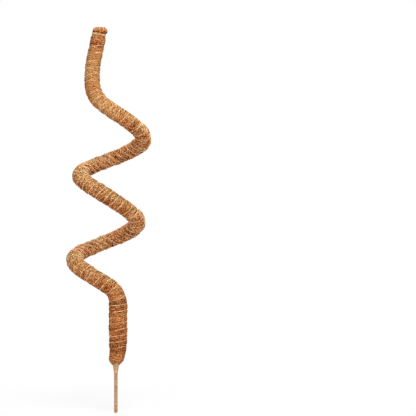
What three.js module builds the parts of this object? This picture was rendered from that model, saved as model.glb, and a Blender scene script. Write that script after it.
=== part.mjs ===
// Bendable coir pole for climbing plants, bent into a rising coil.
//
// A soft steel wire runs the whole length and keeps any bend that is given to it. A capped stake tube
// stiffens its lower end. Two layers of coir fibre are wound round the wire and bound with twine. Tape
// closes the coir on the stake at the bottom, and a tied coir plug closes it at the top.
//
// Units are millimetres and degrees. +Z is up, the front of the pole faces -Y, and the origin is on the
// stake's axis at soil level. The pole is divided where it is bent by hand: at both ends of the coil and
// at each side of it.

import * as THREE from 'three';

// Bent shape of the centreline, in lengths along the pole from soil level
const STEM_LENGTH = 112.2; // soil level to the middle of the bottom bend
const BOTTOM_BEND = 42; // length of the bend from stem to coil
const COIL_RADIUS = 41.1; // mean radius seen from above
const COIL_OVAL = 14.1; // heading gained and lost in a half turn, so that the sides bend more tightly
const COIL_CLIMB = 27.1; // mean angle of the coil above the horizontal
const CLIMB_SWAY = 3.7; // how much steeper and gentler the coil climbs within a turn
const GENTLE_HEADING = 45; // direction in which it climbs most gently, from +X towards +Y
const COIL_SWEEP = 824; // angle that the coil turns through, clockwise seen from above
const COIL_HEADING = 212.8; // direction in which the pole enters the coil
const TOP_BEND = 122; // length of the bend from coil to upright arm
const ARM_LENGTH = 98; // middle of the top bend to the top
const FOOT_LEAN = 13.6; // greatest lean of the foot, where the pole steps aside above the stake
const FOOT_LEAN_RUN = 30; // length in which the foot leans out and rights itself
const COIL_LEAN = 2.6; // leans are towards +X
const ARM_LEAN = 11.3;

// Coir
const STEM_DIAMETER = 28.4;
const COIL_LOW_DIAMETER = 24.6;
const COIL_HIGH_DIAMETER = 24.6;
const TOP_DIAMETER = 22.8;
const SHOULDER_DIAMETER = 22.6; // where the tapered foot ends
const FOOT_DIAMETER = 8.8; // where the coir closes on the stake
const FOOT_HEIGHT = 9.5;
const FILL_HEIGHT = 38; // height at which the stem has its full diameter
const FIBRE_CORE_DIAMETER = 14;
const FIBRE_CORE_START = 15; // height of the inner layer's lower end

// Wire, stake and collar
const WIRE_DIAMETER = 3;
const STAKE_DIAMETER = 5.6;
const STAKE_DEPTH = 73; // soil level to the tip
const STAKE_INSERT = 60; // length of the stake tube inside the coir
const CAP_DIAMETER = 5.9;
const CAP_HEIGHT = 4;
const CAP_FLAT_DIAMETER = 3.4; // flat end of the rounded cap
const CAP_SPIGOT = 6; // length of the cap's plug inside the tube
const COLLAR_HEIGHT = 11.3;
const COLLAR_TOP_DIAMETER = 9.2;
const COLLAR_TAPE = 0.5; // wall of the tape at the collar's lower edge

// Top closure
const PLUG_DIAMETER = 21.6;
const PLUG_HEIGHT = 7.5;
const PLUG_BELLY = 2; // height of the plug's widest place above its underside
const PLUG_ROUND = 8.5; // height over which the plug rounds in, as half an ellipse
const NECK_DIAMETER = 18.8; // where the tie draws the coir in
const NECK_HEIGHT = 6;
const NECK_SHOULDER = 4; // length in which the coir narrows to the neck
const WIRE_SETBACK = 4; // top end of the wire below the plug

// Twine
const TWINE_WIDTH = 1.3;
const TWINE_HEIGHT = 1.1;
const TWINE_CROWN = 0.7; // width of the twine's outer side
const STEM_TWINE_PITCH = 9.4;
const TWINE_PITCH = 11.8;
const TIE_PITCH = 1.8;
const TWINE_START = 22; // height of the first turn on the stem
const TWINE_END_MARGIN = 3; // length left free of twine below the neck

// Fits
const CLEARANCE = 0.3; // between layers that are wound on each other
const BEND_CLEARANCE = 1; // between the rounded end of a length and the hollow end of the next
const BEND_FREE_LENGTH = 9; // length on each side of a bend that is left free of twine
const BEND_NOSE = 40; // angle over which the rounded end closes in
const WIRE_BEND_GAP = 1.6; // between a wire's end and the rounded end of its coir, which it stops inside
const CORE_BEND_SETBACK = 1.5;

// Faceting
const POLE_SIDES = 12;
const CORE_SIDES = 8;
const WIRE_SIDES = 8;
const TWINE_STEPS = POLE_SIDES; // steps in one turn, one on each corner of the pole
const RING_STEP = 12;
const FOOT_STEP = 5; // ring step in the leaning foot
const LEAST_RING_GAP = 1; // rings closer than this are left out
const FOOT_RINGS = 4;
const NOSE_RINGS = 3;
const PLUG_RINGS = 5;
const CAP_RINGS = 4;

const rad = THREE.MathUtils.degToRad;
const { clamp, lerp, smoothstep } = THREE.MathUtils;

const COIL_LENGTH = (rad(COIL_SWEEP) * COIL_RADIUS) / Math.cos(rad(COIL_CLIMB));
const COIL_END = STEM_LENGTH + COIL_LENGTH;
const POLE_LENGTH = COIL_END + ARM_LENGTH;
const PLUG_START = POLE_LENGTH - PLUG_HEIGHT;
const NECK_START = PLUG_START - NECK_HEIGHT;
const PATH_STEP = 1;

// Direction of the centreline at a length along the pole: the climb, turned to the heading, then leaned.
function direction(length) {
  const intoCoil = smoothstep(length, STEM_LENGTH - BOTTOM_BEND / 2, STEM_LENGTH + BOTTOM_BEND / 2);
  const outOfCoil = smoothstep(length, COIL_END - TOP_BEND / 2, COIL_END + TOP_BEND / 2);
  const turned = (clamp(length - STEM_LENGTH, 0, COIL_LENGTH) / COIL_LENGTH) * COIL_SWEEP;
  const evenHeading = COIL_HEADING - turned;
  const heading = rad(evenHeading - COIL_OVAL * Math.sin(rad(2 * evenHeading)));
  const coilClimb = COIL_CLIMB - CLIMB_SWAY * Math.cos(rad(evenHeading - GENTLE_HEADING));
  const climb = rad(90 + (coilClimb - 90) * (intoCoil - outOfCoil));
  const footSway = (1 - Math.cos(2 * Math.PI * clamp(length / FOOT_LEAN_RUN, 0, 1))) / 2;
  const lean = FOOT_LEAN * footSway + COIL_LEAN * intoCoil + (ARM_LEAN - COIL_LEAN) * outOfCoil;
  return new THREE.Vector3(Math.cos(heading), Math.sin(heading), 0)
    .multiplyScalar(Math.cos(climb))
    .setZ(Math.sin(climb))
    .applyAxisAngle(new THREE.Vector3(0, 1, 0), rad(lean));
}

// Centreline from soil level to the top, with a frame carried along it without twist.
function traceCentreline() {
  const frames = [];
  const point = new THREE.Vector3();
  let side = new THREE.Vector3(1, 0, 0);
  for (let length = 0; length <= POLE_LENGTH + PATH_STEP; length += PATH_STEP) {
    const along = direction(length);
    side = side.clone().addScaledVector(along, -side.dot(along)).normalize();
    frames.push({ point: point.clone(), along, side });
    point.addScaledVector(direction(length + PATH_STEP / 2), PATH_STEP);
  }
  return frames;
}

const centreline = traceCentreline();

// Frame at a length along the pole. Below soil level the stake goes straight down.
function frameAt(length) {
  if (length <= 0) {
    const { along, side } = centreline[0];
    return { point: new THREE.Vector3(0, 0, length), along, side, across: along.clone().cross(side) };
  }
  const place = length / PATH_STEP;
  const index = Math.min(Math.floor(place), centreline.length - 2);
  const low = centreline[index];
  const high = centreline[index + 1];
  const point = low.point.clone().lerp(high.point, place - index);
  const along = low.along.clone().lerp(high.along, place - index).normalize();
  const side = low.side.clone().lerp(high.side, place - index).normalize();
  return { point, along, side, across: along.clone().cross(side) };
}

// Direction straight out of the pole towards one corner of a piece with so many sides.
function outward(frame, corner, sides) {
  const angle = (2 * Math.PI * corner) / sides;
  return frame.side
    .clone()
    .multiplyScalar(Math.cos(angle))
    .addScaledVector(frame.across, Math.sin(angle));
}

function polePoint(length, radius, corner, sides) {
  const frame = frameAt(length);
  return frame.point.addScaledVector(outward(frame, corner, sides), radius);
}

function ring(length, radius, sides) {
  const frame = frameAt(length);
  return Array.from({ length: sides }, (_, corner) =>
    frame.point.clone().addScaledVector(outward(frame, corner, sides), radius),
  );
}

// Outer radius of the coir at a length along the pole.
const outline = [
  [FOOT_HEIGHT, SHOULDER_DIAMETER / 2],
  [FILL_HEIGHT, STEM_DIAMETER / 2],
  [STEM_LENGTH - BOTTOM_BEND / 2, STEM_DIAMETER / 2],
  [STEM_LENGTH + BOTTOM_BEND / 2, COIL_LOW_DIAMETER / 2],
  [COIL_END - TOP_BEND / 2, COIL_HIGH_DIAMETER / 2],
  [NECK_START - NECK_SHOULDER, TOP_DIAMETER / 2],
  [NECK_START, NECK_DIAMETER / 2],
  [PLUG_START, NECK_DIAMETER / 2],
];

function coirRadius(length) {
  if (length < FOOT_HEIGHT) {
    const rise = Math.max(length, 0) / FOOT_HEIGHT;
    const swell = (rise * (3 - rise)) / 2;
    return lerp(FOOT_DIAMETER, SHOULDER_DIAMETER, swell) / 2;
  }
  const next = outline.findIndex(([end]) => end >= length);
  if (next < 1) return outline.at(next)[1];
  const [lowLength, lowRadius] = outline[next - 1];
  const [highLength, highRadius] = outline[next];
  return lerp(lowRadius, highRadius, (length - lowLength) / (highLength - lowLength));
}

// Corner radius of a hole with so many sides round a piece of the given radius.
function holeRadius(radius, sides) {
  return (radius + CLEARANCE) / Math.cos(Math.PI / sides);
}

const coreRadius = FIBRE_CORE_DIAMETER / 2;
const wireRadius = WIRE_DIAMETER / 2;
const stakeRadius = STAKE_DIAMETER / 2;
const coirBore = holeRadius(coreRadius, POLE_SIDES);
const coirFootBore = holeRadius(stakeRadius, POLE_SIDES);
const coreWireBore = holeRadius(wireRadius, CORE_SIDES);
const coreStakeBore = holeRadius(stakeRadius, CORE_SIDES);
const stakeBore = holeRadius(wireRadius, POLE_SIDES);

// Closed body through a list of rings. A hollow body runs up its outside and down its bore, and its last
// ring joins its first. A solid one has both ends closed with a fan.
function loft(rings, hollow) {
  const sides = rings[0].length;
  const points = rings.flat();
  const faces = [];
  const joins = hollow ? rings.length : rings.length - 1;
  for (let i = 0; i < joins; i++) {
    const low = i * sides;
    const high = ((i + 1) % rings.length) * sides;
    for (let k = 0; k < sides; k++) {
      const next = (k + 1) % sides;
      faces.push(low + k, low + next, high + next);
      faces.push(low + k, high + next, high + k);
    }
  }
  if (!hollow) {
    const last = (rings.length - 1) * sides;
    for (let k = 1; k < sides - 1; k++) {
      faces.push(0, k + 1, k);
      faces.push(last, last + k, last + k + 1);
    }
  }
  const geometry = new THREE.BufferGeometry().setFromPoints(points).setIndex(faces);
  geometry.computeVertexNormals();
  return geometry;
}

// Lengths of the pole between its bends
const HALF_TURN = 180;
const SIDE_HEADING = 90; // at the sides of the coil the pole runs straight towards or away from the front
const LEAST_LAST_TURN = 60; // a side closer than this to the end of the coil is no bend of its own

function bendStations() {
  const stations = [STEM_LENGTH];
  const firstSide = COIL_HEADING - SIDE_HEADING;
  for (let turned = firstSide; turned < COIL_SWEEP - LEAST_LAST_TURN; turned += HALF_TURN) {
    stations.push(STEM_LENGTH + (turned / COIL_SWEEP) * COIL_LENGTH);
  }
  return [...stations, COIL_END];
}

const bends = bendStations();

// Evenly spaced ring places from one length to another, both included.
function places(from, to, step = RING_STEP) {
  const count = Math.max(1, Math.round((to - from) / step));
  return Array.from({ length: count + 1 }, (_, i) => lerp(from, to, i / count));
}

// Radius of the hollow end that a length has at the bend below it
function hollowBall(bend) {
  return coirRadius(bend) + BEND_CLEARANCE;
}

// Each length has ring places for its outside, and for the layers inside it those above its hollow end.
// The binding is right-handed on the stem and changes hand from one length of the coil to the next.
const lengths = [0, ...bends].map((from, index) => {
  const isStem = index === 0;
  const isTop = index === bends.length;
  const to = isTop ? NECK_START - NECK_SHOULDER : bends[index];
  const outerPlaces = places(isStem ? FIBRE_CORE_START : from + BEND_FREE_LENGTH, to);
  const innerStart = isStem ? FIBRE_CORE_START : from + hollowBall(from);
  return {
    name: isStem ? 'stem' : isTop ? 'top' : `turn_${index}`,
    from,
    to,
    isStem,
    isTop,
    outerPlaces,
    innerStart,
    innerPlaces: outerPlaces.filter((at) => at > innerStart + LEAST_RING_GAP),
    hand: isStem || (index % 2 === 0 && !isTop) ? 1 : -1,
    twinePitch: isStem ? STEM_TWINE_PITCH : TWINE_PITCH,
  };
});

// Ring places in the foot, from soil level to the lower end of the inner layer, for all that runs through it
const footPlaces = places(0, FIBRE_CORE_START, FOOT_STEP);

const HOLLOW_TOLERANCE = 1e-6;

// Ring whose corners lie on a ball round a bend, where a length ends in a hollow that takes the rounded
// end of the length below.
function hollowRing(bend, radiusAt, sides) {
  const centre = frameAt(bend).point;
  const ball = hollowBall(bend);
  return Array.from({ length: sides }, (_, corner) => {
    let low = bend;
    let high = bend + 2 * ball;
    while (high - low > HOLLOW_TOLERANCE) {
      const middle = (low + high) / 2;
      const reach = polePoint(middle, radiusAt(middle), corner, sides).distanceTo(centre);
      if (reach < ball) low = middle;
      else high = middle;
    }
    return polePoint(high, radiusAt(high), corner, sides);
  });
}

// Ring square to the pole's direction at a bend, some way past it.
function noseRing(bend, ahead, radius) {
  const frame = frameAt(bend);
  const centre = frame.point.addScaledVector(frame.along, ahead);
  return Array.from({ length: POLE_SIDES }, (_, corner) =>
    centre.clone().addScaledVector(outward(frame, corner, POLE_SIDES), radius),
  );
}

// Rounded end of a length, centred on the bend, with the mouth of its bore, which widens so that the wire
// of the next length has room to turn.
function noseRings(bend) {
  const ball = coirRadius(bend);
  const rings = [];
  for (let i = 1; i <= NOSE_RINGS; i++) {
    const angle = rad((BEND_NOSE * i) / NOSE_RINGS);
    rings.push(noseRing(bend, ball * Math.sin(angle), ball * Math.cos(angle)));
  }
  const end = rad(BEND_NOSE);
  const mouth = (coirBore + ball * Math.cos(end)) / 2;
  rings.push(noseRing(bend, ball * Math.sin(end), mouth));
  return rings;
}

// Outer coir layer of one length
function coirGeometry(part) {
  const outer = part.outerPlaces.map((at) => ring(at, coirRadius(at), POLE_SIDES));
  const inner = part.innerPlaces.map((at) => ring(at, coirBore, POLE_SIDES)).reverse();
  if (part.isStem) {
    const foot = [];
    for (let i = 0; i < FOOT_RINGS; i++) {
      const at = CLEARANCE + FOOT_HEIGHT * (i / FOOT_RINGS) ** 2;
      foot.push(ring(at, coirRadius(at), POLE_SIDES));
    }
    const footBore = [CLEARANCE, ...footPlaces.slice(1)].reverse();
    const bore = [
      ring(FIBRE_CORE_START, coirBore, POLE_SIDES),
      ...footBore.map((at) => ring(at, coirFootBore, POLE_SIDES)),
    ];
    return loft([...foot, ...outer, ...noseRings(part.to), ...inner, ...bore], true);
  }
  const middleRadius = (coirBore + coirRadius(part.from)) / 2;
  const rim = hollowRing(part.from, coirRadius, POLE_SIDES);
  const hollow = [coirBore, middleRadius].map((radius) =>
    hollowRing(part.from, () => radius, POLE_SIDES),
  );
  if (part.isTop) {
    const end = PLUG_START - CLEARANCE;
    const neck = [NECK_START, end].map((at) => ring(at, coirRadius(at), POLE_SIDES));
    const mouth = ring(end, coirBore, POLE_SIDES);
    return loft([rim, ...outer, ...neck, mouth, ...inner, ...hollow], true);
  }
  return loft([rim, ...outer, ...noseRings(part.to), ...inner, ...hollow], true);
}

// Inner fibre layer of one length, with a bore for the wire and, in the stem, for the stake tube
function fibreCoreGeometry(part) {
  const end = part.isTop ? PLUG_START - CLEARANCE : part.to - CORE_BEND_SETBACK;
  const middle = part.innerPlaces.filter((at) => at < end - LEAST_RING_GAP);
  const coreRing = (at, radius) => ring(at, radius, CORE_SIDES);
  if (part.isStem) {
    const start = FIBRE_CORE_START + CLEARANCE;
    const step = STAKE_INSERT + CLEARANCE;
    const outer = [start, ...middle, end].map((at) => coreRing(at, coreRadius));
    const aboveStep = middle.filter((at) => at > step + LEAST_RING_GAP);
    const belowStep = middle.filter((at) => at < step - LEAST_RING_GAP);
    const wireBore = [end, ...aboveStep.reverse(), step];
    const stakeHole = [step, ...belowStep.reverse(), start];
    const bore = [
      ...wireBore.map((at) => coreRing(at, coreWireBore)),
      ...stakeHole.map((at) => coreRing(at, coreStakeBore)),
    ];
    return loft([...outer, ...bore], true);
  }
  const rim = hollowRing(part.from, () => coreRadius, CORE_SIDES);
  const hollow = hollowRing(part.from, () => coreWireBore, CORE_SIDES);
  const outer = [...middle, end].map((at) => coreRing(at, coreRadius));
  const bore = [...middle, end].reverse().map((at) => coreRing(at, coreWireBore));
  return loft([rim, ...outer, ...bore, hollow], true);
}

// Wire of one length, from above the hollow end to inside the rounded one
function wireGeometry(part) {
  const capTop = -STAKE_DEPTH + CAP_HEIGHT + CAP_SPIGOT;
  const start = part.isStem ? [capTop + CLEARANCE, ...footPlaces] : [part.innerStart];
  const end = part.isTop ? PLUG_START - WIRE_SETBACK : part.to + coirRadius(part.to) - WIRE_BEND_GAP;
  const middle = part.innerPlaces.filter((at) => at < end - LEAST_RING_GAP);
  return loft(
    [...start, ...middle, end].map((at) => ring(at, wireRadius, WIRE_SIDES)),
    false,
  );
}

// Point on the faceted coir, lifted off it, at one of its corners
function coirCorner(at, ringPlaces, corner, lift) {
  const next = clamp(
    ringPlaces.findIndex((place) => place >= at),
    1,
    ringPlaces.length - 1,
  );
  const [low, high] = [ringPlaces[next - 1], ringPlaces[next]];
  const from = polePoint(low, coirRadius(low) + lift, corner, POLE_SIDES);
  const to = polePoint(high, coirRadius(high) + lift, corner, POLE_SIDES);
  return from.lerp(to, (at - low) / (high - low));
}

// Twine wound on the coir as one unbroken strand, with a straight end at each side.
// The hand is 1 for a right-handed winding and -1 for a left-handed one.
function twineGeometry(name, from, to, pitch, hand, ringPlaces) {
  const steps = Math.floor(((to - from) / pitch) * TWINE_STEPS);
  const sections = [];
  for (let i = 0; i <= steps; i++) {
    const at = from + (i * pitch) / TWINE_STEPS;
    const base = coirCorner(at, ringPlaces, hand * i, CLEARANCE);
    const crown = coirCorner(at, ringPlaces, hand * i, CLEARANCE + TWINE_HEIGHT);
    const along = frameAt(at).along;
    const section = [
      base.clone().addScaledVector(along, -TWINE_WIDTH / 2),
      base.clone().addScaledVector(along, TWINE_WIDTH / 2),
      crown.clone().addScaledVector(along, TWINE_CROWN / 2),
      crown.clone().addScaledVector(along, -TWINE_CROWN / 2),
    ];
    sections.push(hand > 0 ? section : section.reverse());
  }
  const ahead = (section, before) => {
    const run = section[0].clone().sub(before[0]).setLength(TWINE_WIDTH);
    return section.map((point) => point.clone().add(run));
  };
  const rings = [ahead(sections[0], sections[1]), ...sections, ahead(sections.at(-1), sections.at(-2))];
  reportLeastGap(name, rings);
  return loft(rings, false);
}

// Least distance between neighbouring turns of a winding, on the points of its sections
function reportLeastGap(name, sections) {
  let least = Infinity;
  sections.forEach((section, i) => {
    for (const other of sections.slice(i + TWINE_STEPS / 2)) {
      for (const point of section) {
        for (const far of other) least = Math.min(least, point.distanceTo(far));
      }
    }
  });
  console.log(`${name}: least gap of the winding to itself ${least.toFixed(2)} mm`);
}

function stakeTubeGeometry() {
  const low = -STAKE_DEPTH + CAP_HEIGHT + CLEARANCE;
  const inCoir = lengths[0].innerPlaces.filter((at) => at < STAKE_INSERT - LEAST_RING_GAP);
  const tubePlaces = [low, ...footPlaces, ...inCoir, STAKE_INSERT];
  const outer = tubePlaces.map((at) => ring(at, stakeRadius, POLE_SIDES));
  const bore = tubePlaces.map((at) => ring(at, stakeBore, POLE_SIDES)).reverse();
  return loft([...outer, ...bore], true);
}

// Rounded cap with a flat end and a plug that fits the tube as the wire does
function stakeCapGeometry() {
  const rings = [];
  for (let i = 0; i <= CAP_RINGS; i++) {
    const rise = i / CAP_RINGS;
    const round = Math.sqrt(1 - (1 - rise) ** 2);
    const radius = lerp(CAP_FLAT_DIAMETER, CAP_DIAMETER, round) / 2;
    rings.push(ring(-STAKE_DEPTH + CAP_HEIGHT * rise, radius, POLE_SIDES));
  }
  const top = -STAKE_DEPTH + CAP_HEIGHT;
  rings.push(ring(top, wireRadius, POLE_SIDES));
  rings.push(ring(top + CAP_SPIGOT, wireRadius, POLE_SIDES));
  return loft(rings, false);
}

function collarTapeGeometry() {
  const low = -COLLAR_HEIGHT;
  const rings = [
    ring(low, coirFootBore + COLLAR_TAPE, POLE_SIDES),
    ring(low / 2, (coirFootBore + COLLAR_TAPE + COLLAR_TOP_DIAMETER / 2) / 2, POLE_SIDES),
    ring(0, COLLAR_TOP_DIAMETER / 2, POLE_SIDES),
    ring(0, coirFootBore, POLE_SIDES),
    ring(low, coirFootBore, POLE_SIDES),
  ];
  return loft(rings, true);
}

function topPlugGeometry() {
  const rings = [];
  for (let i = 0; i <= PLUG_RINGS; i++) {
    const height = (PLUG_HEIGHT * i) / PLUG_RINGS;
    const round = Math.sqrt(1 - ((height - PLUG_BELLY) / PLUG_ROUND) ** 2);
    rings.push(ring(PLUG_START + height, (PLUG_DIAMETER / 2) * round, POLE_SIDES));
  }
  return loft(rings, false);
}

function topTieGeometry() {
  const margin = TWINE_WIDTH;
  const from = NECK_START + margin;
  const to = PLUG_START - CLEARANCE - margin;
  return twineGeometry('top_tie', from, to, TIE_PITCH, 1, [NECK_START, PLUG_START - CLEARANCE]);
}

const coir = new THREE.MeshStandardMaterial({ color: 0xb97a45, roughness: 0.95, metalness: 0 });
const innerFibre = new THREE.MeshStandardMaterial({ color: 0x8a5730, roughness: 1, metalness: 0 });
const twine = new THREE.MeshStandardMaterial({ color: 0xe4cda4, roughness: 0.85, metalness: 0 });
const steel = new THREE.MeshStandardMaterial({ color: 0x9a9a98, roughness: 0.4, metalness: 1 });
const tanPlastic = new THREE.MeshStandardMaterial({ color: 0xc09060, roughness: 0.5, metalness: 0 });
const tape = new THREE.MeshStandardMaterial({ color: 0xc2925f, roughness: 0.8, metalness: 0 });

// Each length is a group at its bend, inside the group of the length below, so that turning a group bends
// the pole there.
const mossPole = new THREE.Group();
mossPole.name = 'moss_pole';

function addPiece(group, origin, name, geometry, material) {
  const mesh = new THREE.Mesh(geometry.translate(-origin.x, -origin.y, -origin.z), material);
  mesh.name = name;
  group.add(mesh);
}

function addLength(part, group, origin) {
  addPiece(group, origin, `core_wire_${part.name}`, wireGeometry(part), steel);
  addPiece(group, origin, `fibre_core_${part.name}`, fibreCoreGeometry(part), innerFibre);
  addPiece(group, origin, `coir_${part.name}`, coirGeometry(part), coir);
  const name = `twine_${part.name}`;
  const from = part.isStem ? TWINE_START : part.from + BEND_FREE_LENGTH;
  const to = part.to - (part.isTop ? TWINE_END_MARGIN : BEND_FREE_LENGTH);
  const winding = twineGeometry(name, from, to, part.twinePitch, part.hand, part.outerPlaces);
  addPiece(group, origin, name, winding, twine);
}

// Axis of a bend: square to the plane in which the centreline turns there, so that a positive turn
// tightens the bend
function bendAxis(bend) {
  const before = frameAt(bend - PATH_STEP).along;
  const after = frameAt(bend + PATH_STEP).along;
  return before.cross(after).normalize();
}

let group = mossPole;
let origin = new THREE.Vector3();
mossPole.userData.bends = [];
for (const part of lengths) {
  if (!part.isStem) {
    const bend = frameAt(part.from).point;
    const upper = new THREE.Group();
    upper.position.copy(bend).sub(origin);
    group.add(upper);
    group = upper;
    origin = bend;
    mossPole.userData.bends.push({ above: part.name, centre: bend, axis: bendAxis(part.from) });
  }
  addLength(part, group, origin);
  if (part.isStem) {
    addPiece(group, origin, 'stake_tube', stakeTubeGeometry(), tanPlastic);
    addPiece(group, origin, 'stake_cap', stakeCapGeometry(), tanPlastic);
    addPiece(group, origin, 'collar_tape', collarTapeGeometry(), tape);
  }
  if (part.isTop) {
    addPiece(group, origin, 'top_tie', topTieGeometry(), twine);
    addPiece(group, origin, 'top_plug', topPlugGeometry(), coir);
  }
}

export default mossPole;
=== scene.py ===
import math
from typing import NamedTuple

import bpy
import numpy as np
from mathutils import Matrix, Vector


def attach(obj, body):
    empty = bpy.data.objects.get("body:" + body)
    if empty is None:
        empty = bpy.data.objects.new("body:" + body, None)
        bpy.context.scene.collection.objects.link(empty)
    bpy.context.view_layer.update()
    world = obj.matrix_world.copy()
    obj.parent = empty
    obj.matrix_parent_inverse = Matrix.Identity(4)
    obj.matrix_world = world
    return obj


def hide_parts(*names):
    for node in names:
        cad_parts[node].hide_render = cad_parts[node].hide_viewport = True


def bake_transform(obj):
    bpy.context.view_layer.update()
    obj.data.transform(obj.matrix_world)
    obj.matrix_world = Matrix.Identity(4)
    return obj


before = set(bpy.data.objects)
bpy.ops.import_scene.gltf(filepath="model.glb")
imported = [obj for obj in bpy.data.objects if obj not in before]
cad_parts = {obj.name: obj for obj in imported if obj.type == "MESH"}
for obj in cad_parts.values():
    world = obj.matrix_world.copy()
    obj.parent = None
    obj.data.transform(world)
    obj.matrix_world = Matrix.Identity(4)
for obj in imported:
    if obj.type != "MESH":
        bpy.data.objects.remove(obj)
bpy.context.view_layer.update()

# Looks of a bendable coir moss pole: wound coir fibre, binding twine, a tied tuft on top, and a taped
# stake below. The pole's surface is described by a length along it and an angle round it, so that fibre
# and twine follow every bend.

MM = 0.001
TAU = 2 * math.pi
TINY = 1e-12

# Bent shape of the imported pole: lengths along it from soil level, in metres, and angles in degrees
STEM_LENGTH = 112.2 * MM
BOTTOM_BEND = 42 * MM
COIL_RADIUS = 41.1 * MM
COIL_OVAL = 14.1
COIL_CLIMB = 27.1
CLIMB_SWAY = 3.7
GENTLE_HEADING = 45
COIL_SWEEP = 824
COIL_HEADING = 212.8
TOP_BEND = 122 * MM
ARM_LENGTH = 98 * MM
FOOT_LEAN = 13.6
FOOT_LEAN_RUN = 30 * MM
COIL_LEAN = 2.6
ARM_LEAN = 11.3
SIDE_HEADING = 90
HALF_TURN = 180
UPRIGHT = 90

# Coir: radii and heights
STEM_RADIUS = 14.2 * MM
TURN_RADIUS = 12.3 * MM
TOP_RADIUS = 11.4 * MM
SHOULDER_RADIUS = 11.3 * MM
FOOT_RADIUS = 4.4 * MM
FOOT_HEIGHT = 9.5 * MM
FILL_HEIGHT = 38 * MM
NECK_RADIUS = 9.4 * MM
NECK_HEIGHT = 6 * MM
NECK_SHOULDER = 4 * MM
PLUG_RADIUS = 10.8 * MM
PLUG_HEIGHT = 7.5 * MM
PLUG_BELLY = 2 * MM
PLUG_ROUND = 8.5 * MM
BORE_RADIUS = 3.3 * MM

# Stake and collar
STAKE_RADIUS = 2.8 * MM
STAKE_DEPTH = 73 * MM
STAKE_INSERT = 60 * MM
STAKE_BORE = 1.9 * MM
CAP_RADIUS = 2.95 * MM
CAP_FLAT_RADIUS = 1.7 * MM
CAP_HEIGHT = 4 * MM
COLLAR_HEIGHT = 11.3 * MM
COLLAR_RADIUS = 4.6 * MM

# Twine
STEM_TWINE_PITCH = 9.4 * MM
TWINE_PITCH = 11.8 * MM
TIE_PITCH = 1.8 * MM
TWINE_START = 22 * MM
TWINE_FREE = 9 * MM
TWINE_GAP = 2 * MM

COIL_LENGTH = math.radians(COIL_SWEEP) * COIL_RADIUS / math.cos(math.radians(COIL_CLIMB))
COIL_END = STEM_LENGTH + COIL_LENGTH
POLE_LENGTH = COIL_END + ARM_LENGTH
PLUG_START = POLE_LENGTH - PLUG_HEIGHT
NECK_START = PLUG_START - NECK_HEIGHT
# Lengths on the tuft go on over its outline: across its underside to its edge, then up and over.
TUFT_THROAT = 8.6 * MM
TUFT_EDGE = PLUG_START + TUFT_THROAT - BORE_RADIUS


# Camera at the photograph's angle: level with the pole's middle, in front of it, turned to the right
PIXEL = 1.55 * MM
FRAME_PIXELS = 416
ORIGIN_PIXEL = (115.6, 365.7)
CAMERA_PLACE = Vector((-8.7 * MM, -2.3, 0.25))


def make_camera():
    aim = Vector((
        (FRAME_PIXELS / 2 - ORIGIN_PIXEL[0]) * PIXEL,
        0,
        (ORIGIN_PIXEL[1] - FRAME_PIXELS / 2) * PIXEL,
    ))
    look = aim - CAMERA_PLACE
    depth = -CAMERA_PLACE.y * math.cos(math.atan2(look.x, look.y))
    data = bpy.data.cameras.new("camera")
    data.angle = 2 * math.atan(FRAME_PIXELS / 2 * PIXEL / depth)
    camera = bpy.data.objects.new("camera", data)
    camera.location = CAMERA_PLACE
    camera.rotation_euler = look.to_track_quat("-Z", "Y").to_euler()
    bpy.context.collection.objects.link(camera)
    bpy.context.scene.camera = camera


make_camera()


# Steps, windows, directions and lengths

def smooth(value, start, end):
    """0 up to one value and 1 from another, with a smooth step between."""
    t = np.clip((value - start) / (end - start), 0, 1)
    return t * t * (3 - 2 * t)


def window(value, low, high, fade):
    """1 between two values, fading to 0 at both."""
    return smooth(value, low, low + fade) * (1 - smooth(value, high - fade, high))


def unit(vectors):
    return vectors / (np.linalg.norm(vectors, axis=-1, keepdims=True) + TINY)


def run_along(points):
    """Lengths along a row of points, from its first."""
    return np.concatenate([[0], np.cumsum(np.linalg.norm(np.diff(points, axis=0), axis=1))])


# Centreline

def directions(length):
    """Direction of the pole at lengths along it: the climb, turned to the heading, then leaned."""
    into_coil = smooth(length, STEM_LENGTH - BOTTOM_BEND / 2, STEM_LENGTH + BOTTOM_BEND / 2)
    out_of_coil = smooth(length, COIL_END - TOP_BEND / 2, COIL_END + TOP_BEND / 2)
    turned = np.clip(length - STEM_LENGTH, 0, COIL_LENGTH) / COIL_LENGTH * COIL_SWEEP
    even_heading = COIL_HEADING - turned
    heading = np.radians(even_heading - COIL_OVAL * np.sin(np.radians(2 * even_heading)))
    coil_climb = COIL_CLIMB - CLIMB_SWAY * np.cos(np.radians(even_heading - GENTLE_HEADING))
    climb = np.radians(UPRIGHT + (coil_climb - UPRIGHT) * (into_coil - out_of_coil))
    foot_sway = (1 - np.cos(TAU * np.clip(length / FOOT_LEAN_RUN, 0, 1))) / 2
    lean = FOOT_LEAN * foot_sway + COIL_LEAN * into_coil
    lean = np.radians(lean + (ARM_LEAN - COIL_LEAN) * out_of_coil)
    x = np.cos(climb) * np.cos(heading)
    y = np.cos(climb) * np.sin(heading)
    z = np.sin(climb)
    return np.stack([x * np.cos(lean) + z * np.sin(lean), y, z * np.cos(lean) - x * np.sin(lean)], -1)


def carried_sides(along):
    """A cross direction carried along the pole without twist."""
    side = np.array([1.0, 0, 0])
    sides = []
    for direction in along:
        side = unit(side - direction * side.dot(direction))
        sides.append(side)
    return np.array(sides)


PATH_STEP = 1 * MM
PATH = np.arange(0, POLE_LENGTH + 2 * PATH_STEP, PATH_STEP)
ALONG = directions(PATH)
STEPS = directions(PATH[:-1] + PATH_STEP / 2) * PATH_STEP
CENTRE = np.concatenate([np.zeros((1, 3)), np.cumsum(STEPS, axis=0)])
SIDE = carried_sides(ALONG)


def along_path(values, length):
    return np.stack([np.interp(length, PATH, values[:, i]) for i in range(3)], -1)


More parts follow.
